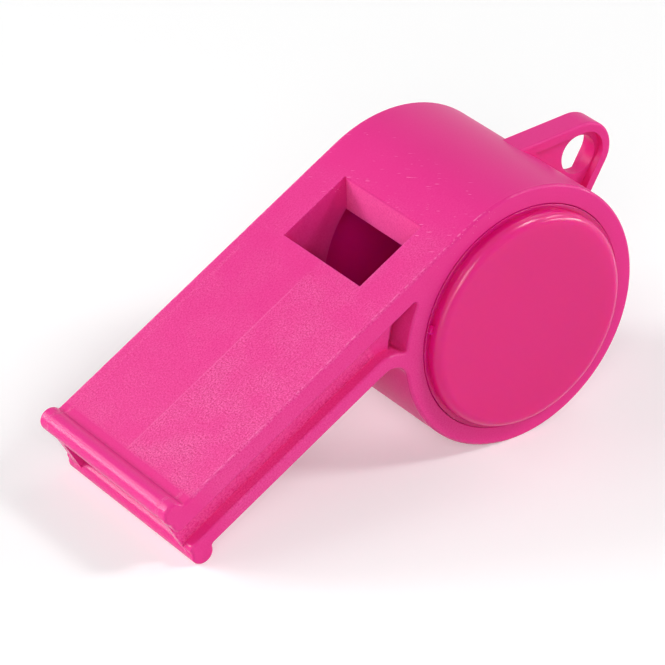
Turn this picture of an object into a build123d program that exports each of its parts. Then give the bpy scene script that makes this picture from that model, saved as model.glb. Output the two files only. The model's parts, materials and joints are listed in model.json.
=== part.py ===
from build123d import *
import os
from math import asin, atan2, cos, degrees, hypot, radians, sin, sqrt, tan

# A pea whistle in moulded plastic, resting on a table on its barrel and on the bead under its mouth.
# Sizes are in millimetres. In the whistle's own side view, x runs from the mouth towards the barrel and
# z runs square to the flat top, both from the barrel's axis. Y is across, with the right side at -Y.

# Barrel
barrel_radius = 12.5
body_width = 19.2
barrel_wall = 2.3
edge_round = 0.28

# Mouthpiece, a flat box with a wide top plate and a wide bottom flange
mouth_reach = 36.1
mouthpiece_height = 5.8
top_band = 2.05
bottom_flange = 1.45
band_corner = 0.6
flange_sweep = 1.7
side_recess = 1.2
recess_corner = 0.3
moat_width = 1.3
moat_depth = 1.3

# Beads along the lips
bead_radius = 1.08
bead_overhang = 0.25
top_bead_rise = 0.95
bottom_bead_drop = 1.1
bead_root = 0.35

# Windway, from the mouth to the window, and the window with its slanted sounding edge
windway_roof = 1.5
windway_mouth_width = 14.9
windway_exit_height = 1.4
window_front = 9.75
window_length = 7.63
window_width = 11.05
labium_lean = 27.0

# Lanyard lug behind the barrel: a thin web inside a raised rim
lug_reach = 15.9
lug_angle = 1.9
lug_end_radius = 3.023
lug_spread = 61.6
lug_thickness = 2.7
lug_rim = 0.9
lug_web = 1.2
lug_foot = 0.3
lug_edge_round = 0.25
eye_radius = 1.9
eye_reach = 15.6
eye_angle = 1.0

# Side caps, pressed into round seats
seat_depth = 1.6
seat_ledge = 0.55
seat_edge = 0.06
cap_fit = 0.05
lip_proud = 0.08
lip_width = 0.4
lip_round = 0.06
cap_proud = 1.35
cap_round = 0.9
cap_skin = 1.4
gate_angle = 137.5
gate_length = 0.8
gate_width = 0.45
gate_inset = 0.1
gate_rise = 0.35

# Pea
pea_radius = 5.0
pea_clearance = 0.3

# How far a cut runs past the face that it opens
overcut = 0.25

# Places worked out from the sizes above
half_width = body_width / 2
chamber_radius = barrel_radius - barrel_wall
core_half_width = half_width - side_recess
underside = barrel_radius - mouthpiece_height
band_bottom = barrel_radius - top_band
flange_top = underside + bottom_flange
heel_x = -sqrt(barrel_radius**2 - underside**2)
sweep_z = underside - flange_sweep
sweep_x = -sqrt((barrel_radius + flange_sweep) ** 2 - sweep_z**2)
bead_x = bead_radius - bead_overhang - mouth_reach
top_bead_z = barrel_radius + top_bead_rise - bead_radius
bottom_bead_z = underside - bottom_bead_drop + bead_radius
lug_x = lug_reach * cos(radians(lug_angle))
lug_z = lug_reach * sin(radians(lug_angle))
eye_x = eye_reach * cos(radians(eye_angle))
eye_z = eye_reach * sin(radians(eye_angle))
ceiling = barrel_radius - windway_roof
mouth_height = ceiling - bottom_bead_z - bead_radius
mouth_front = -mouth_reach - overcut
seat_radius = chamber_radius + seat_ledge
cap_lip_radius = seat_radius - cap_fit
cap_face_radius = cap_lip_radius - lip_width
pea_orbit = chamber_radius - pea_radius - pea_clearance

# The whistle rests on the line that touches the barrel and the lower bead from below,
# and its middle lies over the origin
tilt = atan2(bottom_bead_z, -bead_x) + asin((barrel_radius - bead_radius) / hypot(bead_x, bottom_bead_z))
mouth_end = bead_x * cos(tilt) - top_bead_z * sin(tilt) - bead_radius
lug_end = lug_x * cos(tilt) - lug_z * sin(tilt) + lug_end_radius
axis_x = -(mouth_end + lug_end) / 2
side = Plane(origin=(axis_x, 0, barrel_radius), x_dir=(cos(tilt), 0, sin(tilt)), z_dir=(0, -1, 0))


def across(x):
    """The plane square to the windway at x, drawn with y across and z up."""
    return Plane(origin=side.from_local_coords((x, 0, 0)), x_dir=(0, 1, 0), z_dir=side.x_dir)


def draw_lug(end_radius):
    """Two straight arms that run from the barrel's wall to a round end."""
    upper = radians(lug_angle + lug_spread)
    lower = radians(lug_angle - lug_spread)
    foot = lug_reach * cos(radians(lug_spread)) + end_radius
    with Locations((lug_x, lug_z)):
        Circle(end_radius)
    Polygon(
        (lug_x + end_radius * cos(upper), lug_z + end_radius * sin(upper)),
        (foot * cos(upper), foot * sin(upper)),
        (foot * cos(lower), foot * sin(lower)),
        (lug_x + end_radius * cos(lower), lug_z + end_radius * sin(lower)),
        align=None,
    )


# Side view of the whole body
with BuildSketch() as outline:
    Circle(barrel_radius)
    Polygon(
        (-mouth_reach, underside),
        (0, underside),
        (0, barrel_radius),
        (-mouth_reach, barrel_radius),
        align=None,
    )
    with Locations((bead_x, top_bead_z), (bead_x, bottom_bead_z)):
        Circle(bead_radius)
    bead_corners = outline.vertices().sort_by(Axis.X)[:4]
    fillet(bead_corners, radius=bead_root)
    heel = outline.vertices().sort_by_distance((heel_x, underside))[0]
    fillet(heel, radius=flange_sweep)

# Sunk panel beside the windway, down to where the flange sweeps into the barrel
with BuildSketch() as recess:
    Polygon(
        (mouth_front, flange_top),
        (0, flange_top),
        (0, band_bottom),
        (mouth_front, band_bottom),
        align=None,
    )
    Polygon((sweep_x, sweep_z), (0, sweep_z), (0, flange_top), (sweep_x, flange_top), align=None)
    with Locations((sweep_x, sweep_z)):
        Circle(flange_sweep + bottom_flange, mode=Mode.SUBTRACT)
    Circle(barrel_radius, mode=Mode.SUBTRACT)
    barrel_corners = recess.vertices().sort_by(Axis.X)[-2:]
    fillet(barrel_corners, radius=recess_corner)

# Frame that stands round the sunk panel: top band, bottom flange and barrel rim
with BuildSketch() as frame:
    add(outline.sketch)
    add(recess.sketch, mode=Mode.SUBTRACT)
    for corner_z in (flange_top, band_bottom):
        front_corner = frame.vertices().sort_by_distance((-mouth_reach, corner_z))[0]
        fillet(front_corner, radius=band_corner)

# Whistle body: one moulding
with BuildPart() as whistle_body:
    with BuildSketch(side):
        add(outline.sketch)
    extrude(amount=core_half_width, both=True)
    for face_side in (1, -1):
        with BuildSketch(side.offset(face_side * core_half_width)):
            add(frame.sketch)
        extrude(amount=face_side * side_recess)
    rims = whistle_body.faces().filter_by(Axis.Y).group_by(Axis.Y)
    fillet(rims[0].edges() + rims[-1].edges(), radius=edge_round)

    # Lanyard lug
    with BuildSketch(side):
        draw_lug(lug_end_radius)
    extrude(amount=lug_thickness / 2, both=True)
    flat_faces = whistle_body.faces().filter_by(Axis.Y)
    lug_faces = flat_faces.filter_by(lambda face: abs(face.center().Y) < lug_thickness)
    rim_edges = lug_faces.edges().filter_by(lambda edge: side.to_local_coords(edge.center()).X > barrel_radius)
    fillet(rim_edges, radius=lug_edge_round)
    for face_side in (1, -1):
        with BuildSketch(side.offset(face_side * lug_thickness / 2)):
            draw_lug(lug_end_radius - lug_rim)
            Circle(barrel_radius + lug_foot, mode=Mode.SUBTRACT)
        extrude(amount=-face_side * (lug_thickness - lug_web) / 2, mode=Mode.SUBTRACT)
    with BuildSketch(side):
        with Locations((eye_x, eye_z)):
            Circle(eye_radius)
    extrude(amount=lug_thickness, both=True, mode=Mode.SUBTRACT)

    # Chamber, open at both sides, with a seat for each cap and a moat in front of the barrel's rim
    with BuildSketch(side):
        Circle(chamber_radius)
    extrude(amount=half_width, both=True, mode=Mode.SUBTRACT)
    for face_side in (1, -1):
        with BuildSketch(side.offset(face_side * half_width)):
            Circle(seat_radius)
        extrude(amount=-face_side * seat_depth, mode=Mode.SUBTRACT)
        seat_top = side.from_local_coords((0, seat_radius, face_side * half_width))
        chamfer(whistle_body.edges().sort_by_distance(seat_top)[0], length=seat_edge)
        with BuildSketch(side.offset(face_side * core_half_width)):
            add(recess.sketch)
            Circle(barrel_radius + moat_width, mode=Mode.INTERSECT)
        extrude(amount=-face_side * moat_depth, mode=Mode.SUBTRACT)

    # Window, whose back wall leans towards the mouth down to the sounding edge
    with BuildSketch(side):
        lean = tan(radians(labium_lean))
        window_back = window_length - window_front
        Polygon(
            (-window_front, 0),
            (window_back - lean * barrel_radius, 0),
            (window_back + lean * overcut, barrel_radius + overcut),
            (-window_front, barrel_radius + overcut),
            align=None,
        )
    extrude(amount=window_width / 2, both=True, mode=Mode.SUBTRACT)

    # Windway, from the window to the crown of the lower bead, and the mouth in front of it
    with BuildSketch(across(bead_x)):
        with Locations((0, ceiling - mouth_height / 2)):
            Rectangle(windway_mouth_width, mouth_height)
    with BuildSketch(across(overcut - window_front)):
        with Locations((0, ceiling - windway_exit_height / 2)):
            Rectangle(window_width, windway_exit_height)
    loft(mode=Mode.SUBTRACT)
    with BuildSketch(side):
        Polygon(
            (mouth_front, bottom_bead_z),
            (bead_x, bottom_bead_z),
            (bead_x, ceiling),
            (mouth_front, ceiling),
            align=None,
        )
        with Locations((bead_x, bottom_bead_z)):
            Circle(bead_radius, mode=Mode.SUBTRACT)
    extrude(amount=windway_mouth_width / 2, both=True, mode=Mode.SUBTRACT)
whistle_body.part.label = "whistle_body"


def make_cap(face_side):
    """A turned plug with a thin lip, a raised flat face and a hollow back, seen with its axis upright."""
    ring_face = side.offset(face_side * half_width)
    section = Plane(origin=ring_face.origin, x_dir=(-face_side, 0, 0), z_dir=(0, 0, 1))
    hollow_radius = cap_face_radius - cap_skin
    with BuildPart() as cap:
        with BuildSketch(section) as profile:
            Polygon(
                (0, cap_proud - cap_skin),
                (hollow_radius, cap_proud - cap_skin),
                (hollow_radius, -seat_depth),
                (cap_lip_radius, -seat_depth),
                (cap_lip_radius, lip_proud),
                (cap_face_radius, lip_proud),
                (cap_face_radius, cap_proud),
                (0, cap_proud),
                align=None,
            )
            lip_corner = profile.vertices().group_by(Axis.X)[-1].sort_by(Axis.Y)[-1]
            fillet(lip_corner, radius=lip_round)
            face_corner = profile.vertices().group_by(Axis.Y)[-1].sort_by(Axis.X)[-1]
            fillet(face_corner, radius=cap_round)
        revolve(axis=Axis(section.origin, section.y_dir))
        with BuildSketch(ring_face):
            with PolarLocations(cap_lip_radius - gate_inset - gate_width / 2, 1, start_angle=gate_angle):
                Rectangle(gate_width, gate_length)
        extrude(amount=face_side * (lip_proud + gate_rise))
    return cap


right_cap = make_cap(1)
right_cap.part.label = "right_cap"
left_cap = make_cap(-1)
left_cap.part.label = "left_cap"

# Pea, lying at the bottom of the chamber
with BuildPart() as pea:
    with Locations((axis_x, 0, barrel_radius - pea_orbit)):
        Sphere(pea_radius)
pea.part.label = "pea"

os.makedirs("parts", exist_ok=True)
for piece in (whistle_body, right_cap, left_cap, pea):
    export_step(piece.part, f"parts/{piece.part.label}.step")
    print(piece.part.label, piece.part.is_valid, round(piece.part.volume, 1), piece.part.bounding_box())
print("tilt", round(degrees(tilt), 4), "axis x", round(axis_x, 4), "pea orbit", round(pea_orbit, 3))
print("lanyard eye", side.from_local_coords((eye_x, eye_z, 0)))
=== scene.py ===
# %% [markdown]
# # A pink pea whistle
# A sports whistle is moulded in bright plastic: a barrel with a cap on each side, a flat mouthpiece and a
# lug for a lanyard. Its solids come in from the CAD model as a fixed frame, in metres, and this lesson gives
# them their plastics, a cork pea, a table and studio light.

# %% Load the frame
import json
from math import cos, radians, sin, tan

import bmesh
import bpy
from mathutils import Matrix, Vector, noise

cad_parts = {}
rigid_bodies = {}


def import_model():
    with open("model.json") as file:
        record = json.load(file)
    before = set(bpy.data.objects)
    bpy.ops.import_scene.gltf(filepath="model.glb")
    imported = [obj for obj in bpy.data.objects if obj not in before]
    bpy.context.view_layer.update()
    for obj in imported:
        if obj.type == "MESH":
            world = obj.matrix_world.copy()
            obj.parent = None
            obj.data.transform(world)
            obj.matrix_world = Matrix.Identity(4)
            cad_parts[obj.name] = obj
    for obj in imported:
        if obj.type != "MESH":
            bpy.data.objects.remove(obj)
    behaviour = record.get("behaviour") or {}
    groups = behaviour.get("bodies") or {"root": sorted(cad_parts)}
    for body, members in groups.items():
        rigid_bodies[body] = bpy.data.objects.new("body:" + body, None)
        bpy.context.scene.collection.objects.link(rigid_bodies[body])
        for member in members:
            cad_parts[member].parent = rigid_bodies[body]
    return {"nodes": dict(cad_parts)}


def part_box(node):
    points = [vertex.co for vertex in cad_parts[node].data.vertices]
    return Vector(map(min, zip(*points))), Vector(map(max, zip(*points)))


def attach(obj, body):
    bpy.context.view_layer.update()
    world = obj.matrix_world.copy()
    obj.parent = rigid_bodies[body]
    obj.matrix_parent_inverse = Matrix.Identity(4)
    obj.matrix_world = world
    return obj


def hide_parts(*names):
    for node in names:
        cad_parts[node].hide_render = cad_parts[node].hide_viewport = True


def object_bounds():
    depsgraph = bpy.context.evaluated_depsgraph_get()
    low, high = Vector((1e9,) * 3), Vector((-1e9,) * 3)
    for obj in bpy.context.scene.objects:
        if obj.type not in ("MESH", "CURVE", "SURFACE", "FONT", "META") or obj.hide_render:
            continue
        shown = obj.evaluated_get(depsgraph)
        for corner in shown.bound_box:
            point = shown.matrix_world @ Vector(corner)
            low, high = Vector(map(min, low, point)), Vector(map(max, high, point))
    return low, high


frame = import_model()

cad_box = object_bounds()
nodes = frame["nodes"]
print("CAD box in mm:", [[round(v * 1000, 2) for v in corner] for corner in cad_box])

# %% [markdown]
# ## Colours and nodes
# Colours are written as sRGB hex, as a colour picker shows them. Blender's shaders work in linear light, so
# one function turns them. A second function adds a shader node, sets its values and links its inputs, which
# keeps each material short enough to read from top to bottom. A pattern is given by a real size in
# millimetres, and a third function turns that size into the scale that a texture takes.

# %% Helpers for materials
MM = 0.001


def linear(hex_colour):
    """sRGB hex, such as "#E0167E", to linear red, green, blue and alpha."""
    channels = [int(hex_colour[i:i + 2], 16) / 255 for i in (1, 3, 5)]
    return tuple(c / 12.92 if c <= 0.04045 else ((c + 0.055) / 1.055) ** 2.4 for c in channels) + (1.0,)


def add_node(tree, kind, settings=(), **inputs):
    """Adds a node, sets its properties, then gives each input a value or links a socket to it.
    An input is named, with _ for a space, or numbered, as in _0, where several share a name."""
    added = tree.nodes.new(kind)
    for name, value in dict(settings).items():
        setattr(added, name, value)
    for name, value in inputs.items():
        socket = added.inputs[int(name[1:]) if name[0] == "_" else name.replace("_", " ")]
        if isinstance(value, bpy.types.NodeSocket):
            tree.links.new(value, socket)
        else:
            socket.default_value = value
    return added


def per_mm(size):
    """The scale at which a noise texture's blobs are about this many millimetres across."""
    return 1 / (size * MM)


def new_material(name):
    """A material with an empty node tree."""
    material = bpy.data.materials.new(name)
    material.use_nodes = True
    material.node_tree.nodes.clear()
    return material, material.node_tree


print("helpers ready")

# %% [markdown]
# ## Moulded plastic of the body
# The body is injection-moulded polystyrene, and its look comes from how the steel of the mould was finished.
# The insert that shaped the flat top was spark-eroded, which leaves a fine grain that sparkles, stronger on
# the right half than on the left. The sunk panels beside the windway have that grain at half strength. The
# steel round the barrel was stoned to a satin, and that of the beads and the outer sides was polished, so
# they shine more.
#
# All of this follows the mouthpiece, which is tilted, so a Mapping node turns the coordinates back: x then
# runs along the mouthpiece, y across it and z square to its flat top, all from the barrel's axis. Each finish
# holds between limits along these directions, and the product of its limits is its share of a place.

# %% Where each finish holds
TILT = radians(29.2746)
BARREL_AXIS = (10.6337 * MM, 0, 12.5 * MM)
# A limit is the direction, where the finish sets in, where it is full, and its share at both. Places are in
# the mouthpiece's own millimetres, and "across" is the distance from the middle, either way.
FLAT_TOP = (("Z", 12.2, 12.4, 0.0, 1.0), ("X", -33.5, -33.1, 0.0, 1.0))
WINDOW_BACK = (("Z", 12.4, 12.2, 0.0, 1.0), ("X", -7.0, -6.8, 0.0, 1.0), ("X", -1.0, -1.2, 0.0, 1.0))
FINISHES = {
    "flat top": FLAT_TOP,
    "seam": (*FLAT_TOP, ("X", -11.5, -14.0, 0.0, 0.35)),
    "scuffs": (("X", -6.0, -3.0, 0.0, 1.0), ("X", 4.5, 2.5, 0.0, 1.0), ("Z", 11.2, 11.8, 0.0, 1.0)),
    # The ramp's share paints the slanted wall paler, as painted light
    "ramp": (*WINDOW_BACK, ("across", 5.4, 5.35, 0.0, 1.0)),
    "beads": (("X", -33.1, -33.5, 0.0, 1.0),),
    "outer sides": (("across", 9.2, 9.35, 0.0, 1.0),),
    "top grain": (*FLAT_TOP, ("Y", 0.15, -0.15, 0.55, 1.0), ("X", -34.0, 0.0, 1.0, 0.35),
                  ("X", -1.0, -3.0, 0.3, 1.0)),
    "panel grain": (("across", 8.6, 8.5, 0.0, 1.0), ("across", 8.1, 8.2, 0.0, 1.0),
                    ("X", -12.4, -13.0, 0.0, 0.5)),
    "ramp grain": (*WINDOW_BACK, ("across", 5.4, 5.35, 0.0, 0.3)),
    "stone marks": (("X", -34.0, -2.0, 0.45, 0.04), ("X", -33.6, -30.6, 0.2, 1.0)),
}


def add_shares(tree, own):
    """Each finish's share of a place, from 0 to 1, and the place's distance from the middle."""
    axes = add_node(tree, "ShaderNodeSeparateXYZ", Vector=own).outputs
    across = add_node(tree, "ShaderNodeMath", {"operation": "ABSOLUTE"}, _0=axes["Y"]).outputs[0]
    reads = {"X": axes["X"], "Y": axes["Y"], "Z": axes["Z"], "across": across}
    shares = {}
    for finish, limits in FINISHES.items():
        for direction, start, full, least, most in limits:
            share = add_node(tree, "ShaderNodeMapRange", Value=reads[direction], From_Min=start * MM,
                             From_Max=full * MM, To_Min=least, To_Max=most).outputs[0]
            if finish in shares:
                share = add_node(tree, "ShaderNodeMath", {"operation": "MULTIPLY"}, _0=shares[finish],
                                 _1=share).outputs[0]
            shares[finish] = share
    return shares, across


print("finishes:", ", ".join(FINISHES))

# %% [markdown]
# ## Grain and draft
# Spark erosion leaves tiny craters, in patches, and noise gives them as a bump about the mean height. Each
# half of the flat top also falls away from the middle by about a degree, which shows as a faint crease.

# %% Grain and draft
# Sizes in millimetres. The real grain is about a third as wide: it is drawn this coarse so that it shows
GRAIN_SIZE = 0.16
GRAIN_DEPTH = 0.1
PATCH_SIZE = 3.0
PATCH_RANGE = (0.35, 0.65)
PATCH_LEAST = 0.55
DRAFT = tan(radians(1.2))


def add_grain(tree, own, across, shares):
    """The craters' noise, the grain's strength here, and the normal that grain and draft give together."""
    patches = add_node(tree, "ShaderNodeTexNoise", Vector=own, Scale=per_mm(PATCH_SIZE), Detail=2.0)
    patchy = add_node(tree, "ShaderNodeMapRange", Value=patches.outputs["Fac"], From_Min=PATCH_RANGE[0],
                      From_Max=PATCH_RANGE[1], To_Min=PATCH_LEAST)
    amount = add_node(tree, "ShaderNodeMath", {"operation": "MULTIPLY"}, _0=shares["top grain"],
                      _1=patchy.outputs[0]).outputs[0]
    for finish in ("panel grain", "ramp grain", "stone marks"):
        amount = add_node(tree, "ShaderNodeMath", {"operation": "MAXIMUM"}, _0=amount,
                          _1=shares[finish]).outputs[0]

    slope = add_node(tree, "ShaderNodeMath", {"operation": "MULTIPLY"}, _0=across, _1=-DRAFT)
    draft = add_node(tree, "ShaderNodeBump", Strength=shares["flat top"], Distance=1.0,
                     Height=slope.outputs[0])
    craters = add_node(tree, "ShaderNodeTexNoise", Vector=own, Scale=per_mm(GRAIN_SIZE), Detail=2.0,
                       Roughness=0.7).outputs["Fac"]
    level = add_node(tree, "ShaderNodeMapRange", Value=craters, To_Min=-0.5, To_Max=0.5)
    height = add_node(tree, "ShaderNodeMath", {"operation": "MULTIPLY"}, _0=level.outputs[0], _1=amount)
    relief = add_node(tree, "ShaderNodeBump", Strength=1.0, Distance=GRAIN_DEPTH * MM,
                      Height=height.outputs[0], Normal=draft.outputs[0])
    return craters, amount, relief.outputs[0]


print("grain:", GRAIN_SIZE, "mm wide")

# %% [markdown]
# ## Wear and painted highlights
# Short pale dashes lie along the two long edges of the top: partly wear from handling and partly a painted
# highlight where the sharp edges catch the light. A few thin scuffs behind the window, all in one direction,
# are painted pale as scratches with a painted glint. A faint pale line, a painted highlight, marks where the
# two halves of the top meet.

# %% Wear and painted highlights
# Sizes in millimetres
DASH_SIZE = 0.35
DASH_RANGE = (0.42, 0.62)
TOP_EDGE = 9.38
LINE_WIDTH = 0.1
SCUFF_SIZE = (1.0, 0.12, 0.12)
SCUFF_TURN = radians(-59)
SCUFF_RANGE = (0.78, 0.84)


def add_wear_and_highlights(tree, own, across, shares):
    """How pale a place is painted, from 0 to 1: wear, with painted highlights and glints."""
    off_edge = add_node(tree, "ShaderNodeMath", {"operation": "SUBTRACT"}, _0=across, _1=TOP_EDGE * MM)
    gap = add_node(tree, "ShaderNodeMath", {"operation": "ABSOLUTE"}, _0=off_edge.outputs[0])
    edge = add_node(tree, "ShaderNodeMapRange", Value=gap.outputs[0], From_Max=LINE_WIDTH * MM, To_Min=1.0,
                    To_Max=0.0)
    dash_noise = add_node(tree, "ShaderNodeTexNoise", Vector=own, Scale=per_mm(DASH_SIZE), Detail=3.0)
    dash_mask = add_node(tree, "ShaderNodeMapRange", Value=dash_noise.outputs["Fac"], From_Min=DASH_RANGE[0],
                      From_Max=DASH_RANGE[1])
    # Wear mixed with a painted highlight: pale dashes along the top's long edges
    dashes = add_node(tree, "ShaderNodeMath", {"operation": "MULTIPLY"}, _0=edge.outputs[0],
                      _1=dash_mask.outputs[0])
    # Painted highlight: a thin pale line along the seam in the middle of the top
    middle = add_node(tree, "ShaderNodeMapRange", Value=across, From_Max=LINE_WIDTH * MM, To_Min=1.0,
                      To_Max=0.0)
    # Painted glints on thin scratches behind the window
    along = add_node(tree, "ShaderNodeMapping", {"vector_type": "TEXTURE"}, Vector=own,
                     Rotation=(0, 0, SCUFF_TURN), Scale=[size * MM for size in SCUFF_SIZE])
    strokes = add_node(tree, "ShaderNodeTexNoise", Vector=along.outputs[0], Scale=1.0, Detail=0.0)
    scratch_glints = add_node(tree, "ShaderNodeMapRange", Value=strokes.outputs["Fac"], From_Min=SCUFF_RANGE[0],
                         From_Max=SCUFF_RANGE[1])

    # Each mark keeps to its own part of the body, and the strongest one shows
    marks = []
    for mark, finish in ((dashes, "flat top"), (middle, "seam"), (scratch_glints, "scuffs")):
        marks.append(add_node(tree, "ShaderNodeMath", {"operation": "MULTIPLY"}, _0=mark.outputs[0],
                              _1=shares[finish]).outputs[0])
    wear_and_highlight, *others = marks
    for mark in others:
        wear_and_highlight = add_node(tree, "ShaderNodeMath", {"operation": "MAXIMUM"}, _0=wear_and_highlight, _1=mark).outputs[0]
    return wear_and_highlight


print("wear: dashes, seam and scuffs")

# %% [markdown]
# ## The body's shader
# The pink drifts slowly, as the melt flowed. The thin slanted wall behind the window is painted a paler pink:
# painted light for the strong light that falls on it. The grain's peaks are painted pale and its pits dark:
# painted glints and painted shade, which give the sparkle. Pale marks lie over all, partly wear and partly
# painted highlights. A little scattering under the surface softens the shadows, as it does in most bright
# plastic.

# %% Body plastic
BODY_PINK = "#E7308C"
BODY_PINK_DEEP = "#E02A86"
# Painted light: the slanted wall behind the window is painted paler for the light that falls on it
RAMP_PAINTED_LIGHT_PINK = "#F64F9E"
# Painted shade for the grain's pits and painted glints for its peaks
PIT_PAINTED_SHADE_PINK = "#CE106C"
PEAK_PAINTED_GLINT_PINK = "#FF70B8"
# Pale for wear and for painted highlights on the edges, the seam and the scuffs
WEAR_AND_HIGHLIGHT_PINK = "#F57DB6"
# Sizes in millimetres
FLOW_SIZE = 9.0
BODY_SCATTER_REACH = (1.5, 0.8, 1.4)
PEAK_RANGE = (0.3, 0.7)
PLASTIC_IOR = 1.55
STONED_ROUGH = 0.4
GRAIN_ROUGH = 0.3
POLISHED_ROUGH = 0.22
BODY_SHINE = 0.15
BODY_SCATTER = 0.15


def make_body_plastic():
    material, tree = new_material("moulded polystyrene, spark-eroded and stoned")
    place = add_node(tree, "ShaderNodeTexCoord").outputs["Object"]
    own = add_node(tree, "ShaderNodeMapping", {"vector_type": "TEXTURE"}, Vector=place, Location=BARREL_AXIS,
                   Rotation=(0, -TILT, 0)).outputs[0]
    shares, across = add_shares(tree, own)
    craters, amount, normal = add_grain(tree, own, across, shares)

    wear_and_highlight = add_wear_and_highlights(tree, own, across, shares)

    # Colour, from the plain pink up to the pale marks of wear and painted highlight that lie over all
    flow = add_node(tree, "ShaderNodeTexNoise", Vector=own, Scale=per_mm(FLOW_SIZE), Detail=3.0,
                    Roughness=0.5)
    pink = add_node(tree, "ShaderNodeMix", {"data_type": "RGBA"}, _0=flow.outputs["Fac"],
                    _6=linear(BODY_PINK), _7=linear(BODY_PINK_DEEP)).outputs[2]
    # Painted glints on the grain's peaks and painted shade in its pits
    peaks = add_node(tree, "ShaderNodeMapRange", Value=craters, From_Min=PEAK_RANGE[0],
                     From_Max=PEAK_RANGE[1])
    painted_sparkle = add_node(tree, "ShaderNodeMix", {"data_type": "RGBA"}, _0=peaks.outputs[0], _6=linear(PIT_PAINTED_SHADE_PINK),
                       _7=linear(PEAK_PAINTED_GLINT_PINK)).outputs[2]
    # The ramp's paler pink is painted light, the grain's pale peaks and dark pits are painted glints and
    # shade, and the pale marks are wear with painted highlights
    layers = ((shares["ramp"], linear(RAMP_PAINTED_LIGHT_PINK)), (amount, painted_sparkle), (wear_and_highlight, linear(WEAR_AND_HIGHLIGHT_PINK)))
    for share, colour in layers:
        pink = add_node(tree, "ShaderNodeMix", {"data_type": "RGBA"}, _0=share, _6=pink, _7=colour).outputs[2]

    # Gloss: satin where the steel was stoned, sharper on the grain, sharpest where it was polished
    rough = add_node(tree, "ShaderNodeMapRange", Value=amount, To_Min=STONED_ROUGH, To_Max=GRAIN_ROUGH)
    polished = add_node(tree, "ShaderNodeMath", {"operation": "MAXIMUM"}, _0=shares["beads"],
                        _1=shares["outer sides"])
    rough = add_node(tree, "ShaderNodeMapRange", Value=polished.outputs[0], To_Min=rough.outputs[0],
                     To_Max=POLISHED_ROUGH)
    surface = add_node(tree, "ShaderNodeBsdfPrincipled", Base_Color=pink, Roughness=rough.outputs[0],
                       IOR=PLASTIC_IOR, Specular_IOR_Level=BODY_SHINE, Normal=normal,
                       Subsurface_Weight=BODY_SCATTER, Subsurface_Radius=BODY_SCATTER_REACH,
                       Subsurface_Scale=MM)
    add_node(tree, "ShaderNodeOutputMaterial", Surface=surface.outputs[0])
    return material


nodes["whistle_body"].data.materials[0] = make_body_plastic()
print("body:", nodes["whistle_body"].data.materials[0].name)

# %% [markdown]
# ## Smooth plastic of the caps
# The caps come from a polished mould, so they mirror the light more sharply than the body. Handling leaves
# a faint haze on them, which a slow noise in the roughness gives. Light goes further into their smooth skin,
# which makes their pink deep and even.

# %% Cap plastic
CAP_PINK = "#DF0F7C"
# Sizes in millimetres
HAZE_SIZE = 8.0
CAP_SCATTER_REACH = (2.4, 1.2, 4.0)
HAZE_ROUGH = (0.17, 0.21)
CAP_SHINE = 0.3
CAP_SCATTER = 0.8


def make_cap_plastic():
    material, tree = new_material("moulded polystyrene, polished")
    place = add_node(tree, "ShaderNodeTexCoord").outputs["Object"]
    haze = add_node(tree, "ShaderNodeTexNoise", Vector=place, Scale=per_mm(HAZE_SIZE), Detail=4.0,
                    Roughness=0.6)
    rough = add_node(tree, "ShaderNodeMapRange", Value=haze.outputs["Fac"], To_Min=HAZE_ROUGH[0],
                     To_Max=HAZE_ROUGH[1])
    surface = add_node(tree, "ShaderNodeBsdfPrincipled", Base_Color=linear(CAP_PINK),
                       Roughness=rough.outputs[0], IOR=PLASTIC_IOR, Specular_IOR_Level=CAP_SHINE,
                       Subsurface_Weight=CAP_SCATTER, Subsurface_Radius=CAP_SCATTER_REACH,
                       Subsurface_Scale=MM)
    add_node(tree, "ShaderNodeOutputMaterial", Surface=surface.outputs[0])
    return material


cap_plastic = make_cap_plastic()
for name in ("right_cap", "left_cap"):
    nodes[name].data.materials[0] = cap_plastic
print("caps:", cap_plastic.name)

# %% [markdown]
# ## Cork
# The pea that makes the trill is ground from cork: dry and dull beside the plastic, with a mottled brown and
# small pores.

# %% Cork
CORK_LIGHT = "#C08A55"
CORK_DARK = "#6E4424"
# Sizes in millimetres
PORE_SIZE = 0.7
PORE_DEPTH = 0.2
PORE_STRENGTH = 0.6
CORK_ROUGH = 0.85
CORK_IOR = 1.45


def make_cork():
    material, tree = new_material("cork, ground")
    place = add_node(tree, "ShaderNodeTexCoord").outputs["Object"]
    pores = add_node(tree, "ShaderNodeTexVoronoi", Vector=place, Scale=per_mm(PORE_SIZE))
    mottle = add_node(tree, "ShaderNodeTexNoise", Vector=place, Scale=per_mm(PORE_SIZE), Detail=4.0)
    tint = add_node(tree, "ShaderNodeMix", {"data_type": "RGBA"}, _0=mottle.outputs["Fac"],
                    _6=linear(CORK_DARK), _7=linear(CORK_LIGHT))
    relief = add_node(tree, "ShaderNodeBump", Strength=PORE_STRENGTH, Distance=PORE_DEPTH * MM,
                      Height=pores.outputs["Distance"])
    surface = add_node(tree, "ShaderNodeBsdfPrincipled", Base_Color=tint.outputs[2], Roughness=CORK_ROUGH,
                       IOR=CORK_IOR, Normal=relief.outputs[0])
    add_node(tree, "ShaderNodeOutputMaterial", Surface=surface.outputs[0])
    return material


cork = make_cork()
print("pea material:", cork.name)

# %% [markdown]
# ## Pea
# A ground ball is never quite round. An icosphere has no poles, and a quarter of a millimetre of noise along
# its normals gives the ground shape. The ball stays inside the CAD ball that it replaces.

# %% Pea
CORK_DENT = 0.25 * MM
CORK_LUMP = 2.5 * MM
BALL_SUBDIVISIONS = 5

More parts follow.
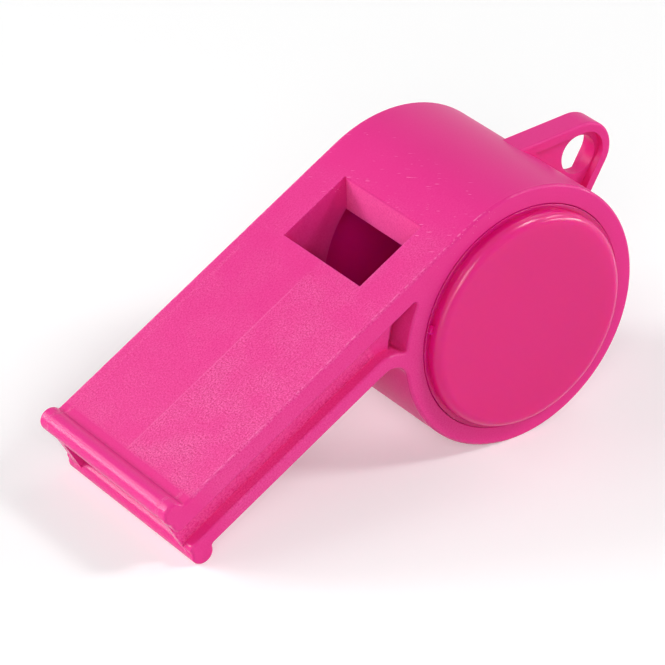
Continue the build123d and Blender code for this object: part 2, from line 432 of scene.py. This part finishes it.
low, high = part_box("pea")
pea_centre = (low + high) / 2
pea_radius = (high.z - low.z) / 2
ball = bmesh.new()
bmesh.ops.create_icosphere(ball, subdivisions=BALL_SUBDIVISIONS, radius=pea_radius)
for vertex in ball.verts:
    vertex.co -= vertex.co.normalized() * CORK_DENT * (0.5 + 0.5 * noise.noise(vertex.co / CORK_LUMP))
bmesh.ops.translate(ball, verts=ball.verts, vec=pea_centre)
for face in ball.faces:
    face.smooth = True
pea_mesh = bpy.data.meshes.new("cork_pea")
ball.to_mesh(pea_mesh)
ball.free()
cork_pea = bpy.data.objects.new("cork_pea", pea_mesh)
bpy.context.scene.collection.objects.link(cork_pea)
pea_mesh.materials.append(cork)
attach(cork_pea, "pea")
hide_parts("pea")
print("pea:", len(pea_mesh.polygons), "faces, radius", round(pea_radius * 1000, 2), "mm")

# %% [markdown]
# ## Table
# The whistle lies on a white table. The table's own white falls a little short of full white under this
# light, so a weak glow that only the camera and reflections see lifts it, and the shadow under the whistle
# stays.

# %% Table
TABLE_SIZE = 4.0
TABLE_WHITE = "#E8E8E8"
TABLE_ROUGH = 0.9
TABLE_GLOW = 0.26


def seen_directly(tree):
    """1 for rays from the camera and for those that a gloss or a clear material sends on, otherwise 0."""
    path = add_node(tree, "ShaderNodeLightPath")
    gloss = add_node(tree, "ShaderNodeMath", {"operation": "MAXIMUM"}, _0=path.outputs["Is Camera Ray"],
                     _1=path.outputs["Is Glossy Ray"])
    return add_node(tree, "ShaderNodeMath", {"operation": "MAXIMUM"}, _0=gloss.outputs[0],
                    _1=path.outputs["Is Transmission Ray"]).outputs[0]


def make_table_white():
    material, tree = new_material("white laminate")
    glow = add_node(tree, "ShaderNodeMath", {"operation": "MULTIPLY"}, _0=seen_directly(tree), _1=TABLE_GLOW)
    surface = add_node(tree, "ShaderNodeBsdfPrincipled", Base_Color=linear(TABLE_WHITE),
                       Roughness=TABLE_ROUGH, Emission_Color=(1, 1, 1, 1), Emission_Strength=glow.outputs[0])
    add_node(tree, "ShaderNodeOutputMaterial", Surface=surface.outputs[0])
    return material


plane = bmesh.new()
bmesh.ops.create_grid(plane, x_segments=1, y_segments=1, size=TABLE_SIZE / 2)
table_mesh = bpy.data.meshes.new("table")
plane.to_mesh(table_mesh)
plane.free()
table = bpy.data.objects.new("table", table_mesh)
bpy.context.scene.collection.objects.link(table)
table_mesh.materials.append(make_table_white())
print("table:", TABLE_SIZE, "m wide")

# %% [markdown]
# ## World
# The world is white to the eye and in reflections, but gives little light itself: the softboxes do that.

# %% World
WORLD_FILL = 0.05

world = bpy.data.worlds.new("studio")
bpy.context.scene.world = world
world.use_nodes = True
sky = world.node_tree
sky.nodes.clear()
seen = add_node(sky, "ShaderNodeMapRange", Value=seen_directly(sky), To_Min=WORLD_FILL, To_Max=1.0)
sky_light = add_node(sky, "ShaderNodeBackground", Color=(1, 1, 1, 1), Strength=seen.outputs[0])
add_node(sky, "ShaderNodeOutputWorld", Surface=sky_light.outputs[0])
print("world:", world.name)

# %% [markdown]
# ## Lamps
# The strongest softboxes stand behind the mouth and to its left. Narrow ones to the right draw thin
# highlights on the cap's edge, one beside the camera fills the near side, and a small one lights the mouth.

# %% Lamps
# Each softbox: where it stands from the whistle's middle in metres, its length and width in metres, and its
# power in watts
SOFTBOXES = {
    "back_key": ((-0.32, 0.42, 0.36), (0.20, 0.20), 0.9),
    "back_low": ((-0.42, 0.42, 0.16), (0.20, 0.20), 1.5),
    "key": ((-0.45, 0.20, 0.36), (0.25, 0.25), 0.8),
    "right_low": ((0.51, -0.30, 0.09), (0.36, 0.045), 1.0),
    "right_strip": ((0.49, -0.22, 0.30), (0.25, 0.04), 0.45),
    "right_up": ((0.33, 0.05, 0.50), (0.25, 0.25), 0.3),
    "front_right": ((0.30, -0.30, 0.42), (0.12, 0.12), 1.0),
    "beside_camera": ((-0.31, -0.41, 0.31), (0.25, 0.25), 1.15),
    "near_mouth": ((-0.13, -0.10, 0.03), (0.08, 0.08), 0.03),
}
whistle_middle = (cad_box[0] + cad_box[1]) / 2
for name, (offset, (length, width), power) in SOFTBOXES.items():
    softbox = bpy.data.lights.new(name, "AREA")
    softbox.shape = "RECTANGLE"
    softbox.size = length
    softbox.size_y = width
    softbox.energy = power
    lamp = bpy.data.objects.new(name, softbox)
    bpy.context.scene.collection.objects.link(lamp)
    facing = (-Vector(offset)).to_track_quat("-Z", "Y").to_matrix().to_4x4()
    lamp.matrix_world = Matrix.Translation(whistle_middle + Vector(offset)) @ facing
print("lamps:", ", ".join(SOFTBOXES))

# %% [markdown]
# ## Camera
# The camera stands where the photograph was taken: about 31 degrees above the table, in front of the right
# cap and towards the mouth, with a long lens. It looks at a point near the whistle's middle.

# %% Camera
# Degrees for the heading, the elevation and the roll, and millimetres for the sensor and the lens
CAMERA_TARGET = Vector((-2.4367, 0.4351, 10.6441)) * MM
CAMERA_DISTANCE = 362.80 * MM
CAMERA_HEADING = 36.671
CAMERA_ELEVATION = 30.798
CAMERA_ROLL = 0.253
SENSOR_WIDTH = 36.0
FOCAL_LENGTH = 224.19
NEAREST_SEEN = 10 * MM

heading, elevation = radians(CAMERA_HEADING), radians(CAMERA_ELEVATION)
forward = Vector((sin(heading) * cos(elevation), cos(heading) * cos(elevation), -sin(elevation)))
camera_data = bpy.data.cameras.new("camera")
camera_data.sensor_width = SENSOR_WIDTH
camera_data.lens = FOCAL_LENGTH
camera_data.clip_start = NEAREST_SEEN
camera = bpy.data.objects.new("camera", camera_data)
bpy.context.scene.collection.objects.link(camera)
turn = forward.to_track_quat("-Z", "Y").to_matrix() @ Matrix.Rotation(radians(CAMERA_ROLL), 3, "Z")
camera.matrix_world = Matrix.Translation(CAMERA_TARGET - forward * CAMERA_DISTANCE) @ turn.to_4x4()
bpy.context.scene.camera = camera
bpy.context.scene.view_settings.view_transform = "Standard"
print("camera at", [round(v * 1000, 1) for v in camera.matrix_world.translation], "mm")
